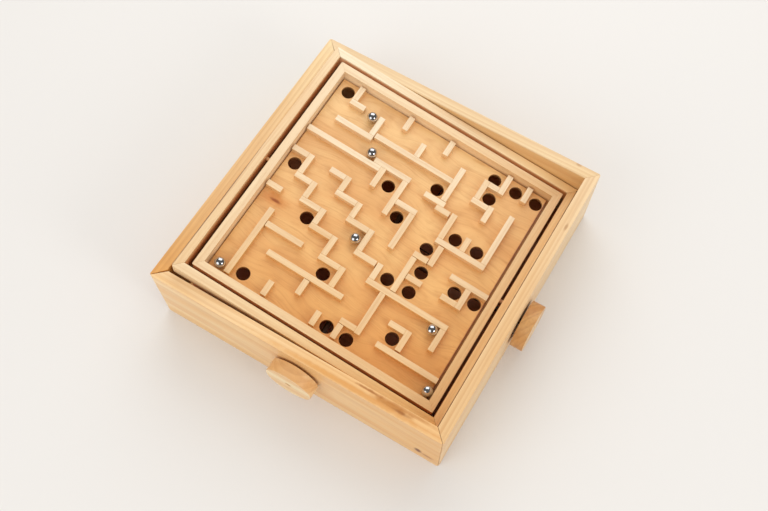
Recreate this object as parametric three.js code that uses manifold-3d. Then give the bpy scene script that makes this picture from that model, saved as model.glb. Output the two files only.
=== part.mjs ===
// Wooden tilt maze game, in millimetres, +Z up.
// The origin is the centre of the box's underside. The front (-Y) knob tilts the outer ring
// about Y, and the right (+X) knob tilts the inner frame, which carries the maze board, about X.
import * as THREE from 'three';
import { mergeVertices } from 'three/addons/utils/BufferGeometryUtils.js';
import Module from 'manifold-3d';

// Box
const BOX_HALF = 150;
const BOX_HEIGHT = 82;
const WALL = 11.3;
const BOX_CORNER_RADIUS = 2.5;
const BASE_HALF = 143;
const BASE_THICKNESS = 4;
const OUTLET_WIDTH = 18;
const OUTLET_TOP = 21;
const OUTLET_Y = -117;

// Gimbal: both tilt axes cross at one point
const PIVOT = { x: 1, y: 1, z: 68 };
const RING_TILT_DEG = 7.6;
const BOARD_TILT_DEG = 0.9;
const RING_OUTER = 136.7;
const RING_INNER = 128.5;
const RING_TOP = 8.3;
const RING_BOTTOM = -6.7;
const FRAME_OUTER = 124.6;
const FRAME_INNER = 116.8;
const FRAME_TOP = 6.4;
const FRAME_BOTTOM = -8.2;
const FRAME_SHIFT = 0.85; // the inner frame sits off the pivot line, toward the right
const BOARD_TOP = -4.2;
const BOARD_THICKNESS = 3.6;
const BOARD_HALF = 120.3;
const HOLE_RADIUS = 6.5;

// Maze strips and balls
const STRIP_WIDTH = 5.8;
const STRIP_HEIGHT = 6;
const BALL_RADIUS = 5.3;

// Pivot pins
const PIN_RADIUS = 1.9;
const PIN_BORE = 2.2;
const PIN_IN_RING = 7;
const RING_PIN_IN_WALL = 5.5;
const BOARD_PIN_IN_FRAME = 5;

// Knobs, axles and strings
const FRONT_AXLE = { x: 2.5, z: 47 };
const RIGHT_AXLE = { y: -2, z: 37 };
const AXLE_RADIUS = 2.5;
const AXLE_BORE = 2.8;
const AXLE_BLIND = 7;
const AXLE_RECESS = 0.3;
const KNOB_RADIUS = 23.3;
const KNOB_THICKNESS = 12.6;
const KNOB_EDGE = 0.4;
const KNOB_GAP = 2.2;
const STRING_RADIUS = 0.5;
const STRING_TURNS = 3;
const STRING_PITCH = 1.4;
const RING_STRING_Y = 13;
const FRAME_STRING_X = 14;
const EYE_HEIGHT = 15;
const EYE_RADIUS = 3;
const EYE_WIRE = 0.8;
const EYE_BORE = 1.1;
const DROP_START = EYE_HEIGHT + EYE_RADIUS + 3;

// Space left between pieces that meet, and the lap of strips that join end to side
const GAP = 0.3;
const LAP = 0.05;

const wasm = await Module();
wasm.setup();

function solid(geometry) {
  const bare = geometry.index ? geometry.clone() : mergeVertices(geometry);
  bare.deleteAttribute('normal');
  bare.deleteAttribute('uv');
  const merged = mergeVertices(bare, 1e-4);
  return new wasm.Manifold(
    new wasm.Mesh({
      numProp: 3,
      vertProperties: merged.attributes.position.array,
      triVerts: Uint32Array.from(merged.index.array),
    }),
  );
}

function geometryOf(manifold) {
  const mesh = manifold.getMesh();
  const geometry = new THREE.BufferGeometry();
  geometry.setAttribute('position', new THREE.BufferAttribute(mesh.vertProperties, 3));
  geometry.setIndex(new THREE.BufferAttribute(mesh.triVerts, 1));
  return geometry;
}

function cut(geometry, tools) {
  let result = solid(geometry);
  for (const tool of tools) {
    result = result.subtract(solid(tool));
  }
  return geometryOf(result);
}

function join(geometries) {
  let result = solid(geometries[0]);
  for (const geometry of geometries.slice(1)) {
    result = result.add(solid(geometry));
  }
  return geometryOf(result);
}

function block(x0, x1, y0, y1, z0, z1) {
  const geometry = new THREE.BoxGeometry(x1 - x0, y1 - y0, z1 - z0);
  return geometry.translate((x0 + x1) / 2, (y0 + y1) / 2, (z0 + z1) / 2);
}

// A round rod along Y between y0 and y1, or along X when turned
function rodY(radius, x, z, y0, y1, segments = 20) {
  const geometry = new THREE.CylinderGeometry(radius, radius, y1 - y0, segments);
  return geometry.translate(x, (y0 + y1) / 2, z);
}

function rodX(radius, y, z, x0, x1, segments = 20) {
  const geometry = new THREE.CylinderGeometry(radius, radius, x1 - x0, segments);
  return geometry.rotateZ(-Math.PI / 2).translate((x0 + x1) / 2, y, z);
}

function rodZ(radius, x, y, z0, z1, segments = 16) {
  const geometry = new THREE.CylinderGeometry(radius, radius, z1 - z0, segments);
  return geometry.rotateX(Math.PI / 2).translate(x, y, (z0 + z1) / 2);
}

// The front side of a square mitred frame: its plan outline raised from z0 to z1
function mitredSide(outer, inner, z0, z1, cornerRadius) {
  const slack = (GAP / 2) * Math.SQRT2;
  const centre = outer - cornerRadius;
  const outline = new THREE.Shape();
  outline.moveTo(-inner + slack, -inner);
  for (const angle of [225, 240, 255, 270]) {
    const a = THREE.MathUtils.degToRad(angle);
    const inset = angle === 225 ? slack : 0;
    outline.lineTo(-centre + cornerRadius * Math.cos(a) + inset, -centre + cornerRadius * Math.sin(a));
  }
  for (const angle of [270, 285, 300, 315]) {
    const a = THREE.MathUtils.degToRad(angle);
    const inset = angle === 315 ? slack : 0;
    outline.lineTo(centre + cornerRadius * Math.cos(a) - inset, -centre + cornerRadius * Math.sin(a));
  }
  outline.lineTo(inner - slack, -inner);
  outline.closePath();
  const geometry = new THREE.ExtrudeGeometry(outline, { depth: z1 - z0, bevelEnabled: false });
  return geometry.translate(0, 0, z0);
}

const SIDES = { front: 0, right: 90, back: 180, left: 270 };

function sideGeometry(side, outer, inner, z0, z1, cornerRadius) {
  const geometry = mitredSide(outer, inner, z0, z1, cornerRadius);
  return geometry.rotateZ(THREE.MathUtils.degToRad(SIDES[side]));
}

function wood(color, roughness = 0.6) {
  return new THREE.MeshStandardMaterial({ color, roughness, metalness: 0 });
}

const PINE = wood(0xe3bd83);
const BEECH = wood(0xf0d3a4);
const PLYWOOD = wood(0xd9a566, 0.5);
const STEEL = new THREE.MeshStandardMaterial({ color: 0xc9c9c9, roughness: 0.12, metalness: 1 });
const BRASS = new THREE.MeshStandardMaterial({ color: 0xb9a46a, roughness: 0.3, metalness: 1 });
const THREAD = wood(0x4a3a2c, 0.9);

function add(parent, name, geometry, material) {
  const mesh = new THREE.Mesh(geometry, material.clone());
  mesh.name = name;
  parent.add(mesh);
  return mesh;
}

const group = new THREE.Group();
const ring = new THREE.Group();
ring.position.set(PIVOT.x, PIVOT.y, PIVOT.z);
ring.rotation.y = THREE.MathUtils.degToRad(RING_TILT_DEG);
group.add(ring);
const frame = new THREE.Group();
frame.rotation.x = THREE.MathUtils.degToRad(BOARD_TILT_DEG);
ring.add(frame);

// Box: four mitred boards around a thin base that sits in a rebate
const boxInner = BOX_HALF - WALL;
const rebate = block(
  -BASE_HALF - GAP, BASE_HALF + GAP, -BASE_HALF - GAP, BASE_HALF + GAP, -1, BASE_THICKNESS + GAP,
);
const wallPinDepth = RING_PIN_IN_WALL + 0.5;
const wallTools = {
  front: [
    rodY(AXLE_BORE, FRONT_AXLE.x, FRONT_AXLE.z, -BOX_HALF - 1, -boxInner + 1),
    rodY(PIN_BORE, PIVOT.x, PIVOT.z, -boxInner - wallPinDepth, -boxInner + 1),
  ],
  back: [
    rodY(AXLE_BORE, FRONT_AXLE.x, FRONT_AXLE.z, boxInner - 1, boxInner + AXLE_BLIND),
    rodY(PIN_BORE, PIVOT.x, PIVOT.z, boxInner - 1, boxInner + wallPinDepth),
  ],
  right: [rodX(AXLE_BORE, RIGHT_AXLE.y, RIGHT_AXLE.z, boxInner - 1, BOX_HALF + 1)],
  left: [
    rodX(AXLE_BORE, RIGHT_AXLE.y, RIGHT_AXLE.z, -boxInner - AXLE_BLIND, -boxInner + 1),
    block(
      -BOX_HALF - 1, -boxInner + 1,
      OUTLET_Y - OUTLET_WIDTH / 2, OUTLET_Y + OUTLET_WIDTH / 2,
      BASE_THICKNESS, OUTLET_TOP,
    ),
  ],
};
for (const side of Object.keys(SIDES)) {
  const board = sideGeometry(side, BOX_HALF, boxInner, 0, BOX_HEIGHT, BOX_CORNER_RADIUS);
  add(group, `box_${side}`, cut(board, [rebate, ...wallTools[side]]), PINE);
}

// The eyes stand in the base below the rails that the strings pull on
const ringStringX = (RING_OUTER + RING_INNER) / 2;
const frameStringY = (FRAME_OUTER + FRAME_INNER) / 2;
const eyeOffset = EYE_WIRE + GAP + STRING_RADIUS;
const eyeX = ringStringX - eyeOffset;
const eyeY = frameStringY - eyeOffset;
const stringShift = (STRING_TURNS * STRING_PITCH) / 2;
const eyes = [
  { name: 'eye_left', x: PIVOT.x - eyeX, y: RING_STRING_Y - stringShift, turn: Math.PI / 2 },
  { name: 'eye_right', x: PIVOT.x + eyeX, y: RING_STRING_Y + stringShift, turn: Math.PI / 2 },
  { name: 'eye_front', x: FRAME_STRING_X - stringShift, y: PIVOT.y - eyeY, turn: 0 },
  { name: 'eye_back', x: FRAME_STRING_X + stringShift, y: PIVOT.y + eyeY, turn: 0 },
];
const base = block(-BASE_HALF, BASE_HALF, -BASE_HALF, BASE_HALF, 0, BASE_THICKNESS);
const shankFoot = 1;
add(
  group,
  'base_panel',
  cut(base, eyes.map((eye) => rodZ(EYE_BORE, eye.x, eye.y, shankFoot - 0.4, BASE_THICKNESS + 1))),
  PLYWOOD,
);
for (const eye of eyes) {
  const loop = new THREE.TorusGeometry(EYE_RADIUS, EYE_WIRE, 8, 20);
  loop.rotateX(Math.PI / 2).rotateZ(eye.turn).translate(eye.x, eye.y, EYE_HEIGHT);
  const shank = rodZ(EYE_WIRE, eye.x, eye.y, shankFoot, EYE_HEIGHT - EYE_RADIUS, 10);
  add(group, eye.name, join([loop, shank]), BRASS);
}

// Outer ring: four mitred rails, bored in the middle for the pins
const ringPinStart = RING_OUTER - PIN_IN_RING;
for (const side of Object.keys(SIDES)) {
  const rail = sideGeometry(side, RING_OUTER, RING_INNER, RING_BOTTOM, RING_TOP, 1);
  const across = side === 'front' || side === 'back';
  const bore = across
    ? rodY(PIN_BORE, 0, 0, -BOX_HALF, BOX_HALF)
    : rodX(PIN_BORE, 0, 0, -BOX_HALF, BOX_HALF);
  add(ring, `ring_rail_${side}`, cut(rail, [bore]), BEECH);
}
const ringPinEnd = { front: boxInner + PIVOT.y, back: boxInner - PIVOT.y };
for (const [side, sign] of [['front', -1], ['back', 1]]) {
  const ends = [sign * ringPinStart, sign * (ringPinEnd[side] + RING_PIN_IN_WALL)];
  const pin = rodY(PIN_RADIUS, 0, 0, Math.min(...ends), Math.max(...ends), 16);
  add(ring, `ring_pin_${side}`, pin, BEECH);
}
for (const [side, sign] of [['left', -1], ['right', 1]]) {
  const ends = [
    sign * (RING_INNER + PIN_IN_RING),
    sign * (FRAME_OUTER - BOARD_PIN_IN_FRAME) + FRAME_SHIFT,
  ];
  const pin = rodX(PIN_RADIUS, 0, 0, Math.min(...ends), Math.max(...ends), 16);
  add(ring, `board_pin_${side}`, pin, BEECH);
}

// Inner frame: four mitred rails with a rebate that holds the board from below
const boardSeat = block(
  FRAME_SHIFT - BOARD_HALF - GAP, FRAME_SHIFT + BOARD_HALF + GAP,
  -BOARD_HALF - GAP, BOARD_HALF + GAP,
  FRAME_BOTTOM - 1, BOARD_TOP + GAP,
);
const framePinInner = FRAME_OUTER - BOARD_PIN_IN_FRAME - 0.5;
for (const side of Object.keys(SIDES)) {
  const rail = sideGeometry(side, FRAME_OUTER, FRAME_INNER, FRAME_BOTTOM, FRAME_TOP, 0.8);
  rail.translate(FRAME_SHIFT, 0, 0);
  const tools = [boardSeat];
  if (side === 'left') {
    tools.push(rodX(PIN_BORE, 0, 0, -BOX_HALF, FRAME_SHIFT - framePinInner));
  }
  if (side === 'right') {
    tools.push(rodX(PIN_BORE, 0, 0, FRAME_SHIFT + framePinInner, BOX_HALF));
  }
  add(frame, `frame_rail_${side}`, cut(rail, tools), BEECH);
}

// Maze board with its ball holes, [x, y] of each centre
const HOLES = [
  [-103.6, 104.8], [62.8, 105.1], [86.3, 105], [108.2, 105.5],
  [67.8, 84.8], [21.2, 65], [-19.4, 41.9],
  [61.4, 30.4], [84.7, 30.4], [3.6, 19.2], [-104.9, 12.3], [43.4, 7.3],
  [51, -15.4], [86.9, -15.4], [107.7, -14.8], [-65.6, -27.9],
  [28, -38.1], [51, -38], [-23.7, -66], [61, -83.8],
  [-83.5, -105], [5.7, -106.2], [26.7, -107],
];
const plan = new THREE.Shape();
plan.moveTo(FRAME_SHIFT - BOARD_HALF, -BOARD_HALF);
plan.lineTo(FRAME_SHIFT + BOARD_HALF, -BOARD_HALF);
plan.lineTo(FRAME_SHIFT + BOARD_HALF, BOARD_HALF);
plan.lineTo(FRAME_SHIFT - BOARD_HALF, BOARD_HALF);
plan.closePath();
for (const [x, y] of HOLES) {
  const hole = new THREE.Path();
  hole.absarc(x, y, HOLE_RADIUS, 0, 2 * Math.PI, true);
  plan.holes.push(hole);
}
const boardSheet = new THREE.ExtrudeGeometry(plan, {
  depth: BOARD_THICKNESS,
  bevelEnabled: false,
  curveSegments: 12,
});
boardSheet.translate(0, 0, BOARD_TOP - BOARD_THICKNESS);
add(frame, 'maze_board', boardSheet, PLYWOOD);

// Maze strips. across(y, x0, x1) lies along X, along(x, y0, y1) lies along Y.
const stripFoot = BOARD_TOP + GAP;
const stripHead = BOARD_TOP + STRIP_HEIGHT;
const half = STRIP_WIDTH / 2;
const across = (y, x0, x1) => block(x0 - LAP, x1 + LAP, y - half, y + half, stripFoot, stripHead);
const along = (x, y0, y1) => block(x - half, x + half, y0 - LAP, y1 + LAP, stripFoot, stripHead);
const LEFT = -114.3;
const RIGHT = 115.4;
const FRONT = -113.9;
const BACK = 115;

const WALLS = {
  wall_back_left_hook: [along(-92.7, 98.8, BACK), across(95.9, -95.6, -79.3)],
  wall_back_stub_a: [along(-36.5, 98.6, BACK)],
  wall_back_stub_b: [along(9.6, 97.8, BACK)],
  wall_back_right_steps: [
    along(74.2, 92.5, BACK),
    across(95.4, 60.4, 71.3),
    along(57.5, 75.7, 98.3),
    across(72.8, 53.8, 71.3),
    along(74.2, 58.1, 76.5),
  ],
  wall_back_stub_c: [along(96.5, 97.4, BACK)],
  wall_upper_run: [
    across(73.1, -97.6, -57.1),
    along(-60, 76, 97.8),
    across(77.9, -57.1, 29.2),
    along(-12.5, 80.8, 96.6),
    along(32.1, 55.5, 95.7),
    across(52.6, 13.5, 35.9),
    across(46.8, 29.1, 44.8),
  ],
  wall_right_cell: [
    along(48.8, 21.6, 50.2),
    across(18.7, 46, 98.6),
    along(72, 21.6, 36.6),
    along(95.7, 21.6, 78.8),
  ],
  wall_centre_column: [
    along(54.3, -7.2, 15.3),
    across(-4.7, 35.5, 51.4),
    along(38.3, -47.1, -7.6),
    across(-27.5, 41.2, 57.6),
  ],
  wall_lower_run: [
    across(-50.5, 12.9, 98.6),
    along(16.1, -47.6, -30.4),
    along(95.7, -76.6, -53.4),
    along(32.1, -99, -53.4),
    across(-95.5, 12.9, 29.2),
    along(15.8, FRONT, -98.4),
  ],
  wall_middle_zigzag: [
    across(24, -73, -56.6),
    along(-53.7, 10.2, 27),
    across(7.3, -56.6, -34.1),
    along(-31.2, -6.6, 10.2),
    across(-9.5, -34.1, -10.8),
    along(-7.9, -30.2, -6.6),
    across(-33.1, -10.8, 12.6),
  ],
  wall_upper_left_run: [
    across(49.9, LEFT, -34.6),
    along(-31.7, 30.8, 52.8),
    across(55.7, -43.7, -4),
    along(-7.5, 13.1, 52.8),
    across(30.6, -4.6, 17.7),
    along(14.8, -12.6, 27.7),
  ],
  wall_left_zigzag: [
    across(24, LEFT, -97.5),
    along(-94.6, 4.7, 26.9),
    across(1.8, -97.5, -80.2),
    along(-77.3, -13.6, 4.7),
    across(-16.5, -80.2, -58.8),
    along(-55.9, -30.9, -13.6),
    across(-33.8, -58.8, -35.5),
    along(-32.6, -52, -30.9),
    across(-54.9, -35.5, -13.6),
    along(-10.7, -74.1, -52),
    across(-77, -76.3, 3.9),
    along(-31.8, -96.5, -79.9),
  ],
  wall_left_stub: [across(-19.6, LEFT, -98.3)],
  wall_left_gate: [along(-95.6, FRONT, -39.4), across(-54.6, -92.7, -53)],
  wall_front_stub_a: [along(-57.2, FRONT, -98.2)],
  wall_front_stub_b: [along(-6.5, FRONT, -99)],
  wall_right_hook: [
    across(-5, 75.5, RIGHT),
    along(96.5, -29.5, -7.9),
    across(-26.6, 77.5, 93.6),
  ],
  wall_lower_hook: [across(-73.8, 51, 67.9), along(70.8, -92.6, -70.9)],
  wall_right_rail: [across(-96.8, 51.2, RIGHT)],
};
for (const [name, strips] of Object.entries(WALLS)) {
  add(frame, name, join(strips), BEECH);
}

// Steel balls, [x, y] of each on the board
const BALLS = [
  [-68.8, 92.4], [-49.4, 59.9], [-16.8, -22.5], [-105.1, -109.1], [87.2, -59], [112, -109.3],
];
BALLS.forEach(([x, y], index) => {
  const ball = add(frame, `ball_${index + 1}`, new THREE.SphereGeometry(BALL_RADIUS, 20, 12), STEEL);
  ball.position.set(x, y, BOARD_TOP + GAP + BALL_RADIUS);
});

// Knobs and their axles. The front axle runs above the right one.
const knobProfile = [
  [AXLE_BORE, 0],
  [KNOB_RADIUS - KNOB_EDGE, 0],
  [KNOB_RADIUS, KNOB_EDGE],
  [KNOB_RADIUS, KNOB_THICKNESS - KNOB_EDGE],
  [KNOB_RADIUS - KNOB_EDGE, KNOB_THICKNESS],
  [AXLE_BORE, KNOB_THICKNESS],
  [AXLE_BORE, 0],
].map(([r, h]) => new THREE.Vector2(r, h));
const knobStart = BOX_HALF + KNOB_GAP;
const axleStart = knobStart + KNOB_THICKNESS - AXLE_RECESS;
const axleEnd = boxInner + AXLE_BLIND - 1;
const frontKnob = new THREE.LatheGeometry(knobProfile, 48);
frontKnob.rotateZ(Math.PI).translate(FRONT_AXLE.x, -knobStart, FRONT_AXLE.z);
add(group, 'front_knob', frontKnob, PINE);
const rightKnob = new THREE.LatheGeometry(knobProfile, 48);
rightKnob.rotateZ(-Math.PI / 2).translate(knobStart, RIGHT_AXLE.y, RIGHT_AXLE.z);
add(group, 'right_knob', rightKnob, PINE);
const frontAxle = rodY(AXLE_RADIUS, FRONT_AXLE.x, FRONT_AXLE.z, -axleStart, axleEnd);
add(group, 'front_axle', frontAxle, BEECH);
const rightAxle = rodX(AXLE_RADIUS, RIGHT_AXLE.y, RIGHT_AXLE.z, -axleEnd, axleStart);
add(group, 'right_axle', rightAxle, BEECH);

// A curve that is stepped from point to point, so that its steps are short where its points are
class PointCurve extends THREE.CatmullRomCurve3 {
  getUtoTmapping(u) {
    return u;
  }
}

// A string along a path of points: an eight-sided tube
function tube(points) {
  const curve = new PointCurve(points, false, 'centripetal');
  const section = new THREE.Shape();
  for (let i = 0; i < 8; i += 1) {
    const angle = (i * Math.PI) / 4;
    const x = STRING_RADIUS * Math.cos(angle);
    const y = STRING_RADIUS * Math.sin(angle);
    if (i === 0) {
      section.moveTo(x, y);
    } else {
      section.lineTo(x, y);
    }
  }
  section.closePath();
  return new THREE.ExtrudeGeometry(section, {
    steps: points.length - 1,
    extrudePath: curve,
    bevelEnabled: false,
  });
}

// The points of one string in its own plane: u runs along the pull, w is height and v is the
// place along the axle. It climbs from each eye to the axle and winds round it.
function stringPoints(axleU, axleHeight, eyeMinus, eyePlus, middleV) {
  const reach = AXLE_RADIUS + GAP + STRING_RADIUS;
  const under = EYE_HEIGHT + EYE_RADIUS - eyeOffset;
  const slopeMinus = Math.atan2(axleHeight - reach - under, axleU - eyeMinus);
  const slopePlus = Math.atan2(axleHeight - reach - under, eyePlus - axleU);
  const startV = middleV - stringShift;
  const endV = middleV + stringShift;
  const points = [];
  points.push([eyeMinus - eyeOffset, startV, DROP_START - 1]);
  points.push([eyeMinus - eyeOffset, startV, under + 1.5]);
  points.push([eyeMinus - eyeOffset + 0.6, startV, under + 0.3]);
  points.push([eyeMinus + 0.6, startV, under + 0.1]);
  const startAngle = -Math.PI / 2 + slopeMinus;
  const endAngle = -Math.PI / 2 - slopePlus + 2 * Math.PI * STRING_TURNS;
  const count = STRING_TURNS * 12;
  for (let i = 0; i <= count; i += 1) {
    const angle = startAngle + ((endAngle - startAngle) * i) / count;
    points.push([
      axleU + reach * Math.cos(angle),
      startV + ((endV - startV) * i) / count,
      axleHeight + reach * Math.sin(angle),
    ]);
  }
  points.push([eyePlus - 0.6, endV, under + 0.1]);
  points.push([eyePlus + eyeOffset - 0.6, endV, under + 0.3]);
  points.push([eyePlus + eyeOffset, endV, under + 1.5]);
  points.push([eyePlus + eyeOffset, endV, DROP_START - 1]);
  return points;
}

const ringString = stringPoints(FRONT_AXLE.x, FRONT_AXLE.z, eyes[0].x, eyes[1].x, RING_STRING_Y);
add(group, 'ring_string', tube(ringString.map(([u, v, w]) => new THREE.Vector3(u, v, w))), THREAD);
const frameString = stringPoints(RIGHT_AXLE.y, RIGHT_AXLE.z, eyes[2].y, eyes[3].y, FRAME_STRING_X);
add(group, 'frame_string', tube(frameString.map(([u, v, w]) => new THREE.Vector3(v, u, w))), THREAD);

// Height of a point on the underside of a tilted rail, above the box's foot
function undersideAt(localX, localY, bottom, boardTilt) {
  const point = new THREE.Vector3(localX, localY, bottom);
  point.applyEuler(new THREE.Euler(THREE.MathUtils.degToRad(boardTilt), 0, 0));
  point.applyEuler(new THREE.Euler(0, THREE.MathUtils.degToRad(RING_TILT_DEG), 0));
  return point.z + PIVOT.z;
}

const drops = [
  ['left', -ringStringX, RING_STRING_Y - PIVOT.y - stringShift, RING_BOTTOM, 0],
  ['right', ringStringX, RING_STRING_Y - PIVOT.y + stringShift, RING_BOTTOM, 0],
  ['front', FRAME_STRING_X - PIVOT.x - stringShift, -frameStringY, FRAME_BOTTOM, BOARD_TILT_DEG],
  ['back', FRAME_STRING_X - PIVOT.x + stringShift, frameStringY, FRAME_BOTTOM, BOARD_TILT_DEG],
];
for (const [side, x, y, bottom, boardTilt] of drops) {
  const top = undersideAt(x, y, bottom, boardTilt) - 3 * GAP;
  const foot = DROP_START - 1 + GAP;
  const drop = rodZ(STRING_RADIUS, x + PIVOT.x, y + PIVOT.y, foot, top, 8);
  add(group, `string_end_${side}`, drop, THREAD);
}

export default group;
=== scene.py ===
import math
import random

import bmesh
import bpy
from mathutils import Matrix, Quaternion, Vector


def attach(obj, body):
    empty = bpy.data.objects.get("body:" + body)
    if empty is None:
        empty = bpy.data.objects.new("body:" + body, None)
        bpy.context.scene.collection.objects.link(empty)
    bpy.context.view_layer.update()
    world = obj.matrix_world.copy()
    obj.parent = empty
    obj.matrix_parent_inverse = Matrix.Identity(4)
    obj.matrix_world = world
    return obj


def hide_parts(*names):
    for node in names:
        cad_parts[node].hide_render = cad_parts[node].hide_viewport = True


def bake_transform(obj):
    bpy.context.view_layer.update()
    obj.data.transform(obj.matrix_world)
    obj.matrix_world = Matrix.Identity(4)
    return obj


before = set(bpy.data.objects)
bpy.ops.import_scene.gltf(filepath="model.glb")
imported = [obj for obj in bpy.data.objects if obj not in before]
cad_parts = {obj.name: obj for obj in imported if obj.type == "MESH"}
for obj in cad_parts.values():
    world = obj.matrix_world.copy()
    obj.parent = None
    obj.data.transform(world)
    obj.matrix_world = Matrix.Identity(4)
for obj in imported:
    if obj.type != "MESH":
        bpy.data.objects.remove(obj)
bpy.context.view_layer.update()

# Wooden tilt maze game. Lengths in this file are millimetres until a mesh is made.
MM = 0.001
DIAGONAL = math.sqrt(2)
rng = random.Random(11)

# The same main sizes as the frame
BOX_HALF, BOX_HEIGHT, WALL = 150, 82, 11.3
BOX_INNER = BOX_HALF - WALL
BASE_HALF, BASE_THICKNESS = 143, 4
OUTLET_WIDTH, OUTLET_TOP, OUTLET_Y = 18, 21, -117
PIVOT = Vector((1, 1, 68))
RING_TILT, BOARD_TILT = math.radians(7.6), math.radians(0.9)
RING_OUTER, RING_INNER, RING_TOP, RING_BOTTOM = 136.7, 128.5, 8.3, -6.7
FRAME_OUTER, FRAME_INNER, FRAME_TOP, FRAME_BOTTOM = 124.6, 116.8, 6.4, -8.2
FRAME_SHIFT = 0.85
BOARD_TOP, BOARD_THICKNESS, HOLE_RADIUS = -4.2, 3.6, 6.5
STRIP_WIDTH, STRIP_HEIGHT, BALL_RADIUS = 5.8, 6, 5.3
PIN_RADIUS, RING_PIN_IN_WALL, PIN_IN_RING, BOARD_PIN_IN_FRAME = 1.9, 5.5, 7, 5
FRONT_AXLE_X, FRONT_AXLE_Z = 2.5, 47
RIGHT_AXLE_Y, RIGHT_AXLE_Z = -2, 37
AXLE_RADIUS, AXLE_BORE, AXLE_BLIND, AXLE_RECESS = 2.5, 2.8, 7, 0.3
KNOB_RADIUS, KNOB_THICKNESS, KNOB_GAP = 23.3, 12.6, 2.2
STRING_RADIUS, STRING_TURNS, STRING_PITCH = 0.5, 3, 1.4
RING_STRING_Y, FRAME_STRING_X = 13, 14
EYE_HEIGHT, EYE_RADIUS, EYE_WIRE = 15, 3, 0.8
GAP = 0.3

# Sizes that only the visual model has
GROOVE, GROOVE_DEPTH = 1.6, 3.0  # round the board, where it meets the rails
PLY = 1.25
STRAND = 1.1
WALL_ROUNDING, RING_ROUNDING, FRAME_ROUNDING = 0.9, 0.6, 0.5
STRIP_ROUNDING, KNOB_ROUNDING = 0.3, 0.45
WALL_LIP, RAIL_LIP, STRIP_LIP = 1.2, 0.8, 0.15  # how deep the top's painted light and shade reaches down a side
RAIL_SHADE = 3  # sides that face a gap get painted shade from this far below the top
RING_MITRE, FRAME_MITRE = (0.06, 0.06), (0.05, 0.05)

ROOM = Matrix.Identity(4)
RING = Matrix.Translation(PIVOT * MM) @ Matrix.Rotation(RING_TILT, 4, "Y")
BOARD = RING @ Matrix.Rotation(BOARD_TILT, 4, "X")
SIDES = {"front": 0, "right": 90, "back": 180, "left": 270}


# ---------------------------------------------------------------- materials


def srgb(code, alpha=1.0):
    """A colour written as six hex digits, as linear light."""
    levels = [int(code[i : i + 2], 16) / 255 for i in (0, 2, 4)]
    return (*[v / 12.92 if v <= 0.04045 else ((v + 0.055) / 1.055) ** 2.4 for v in levels], alpha)


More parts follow.
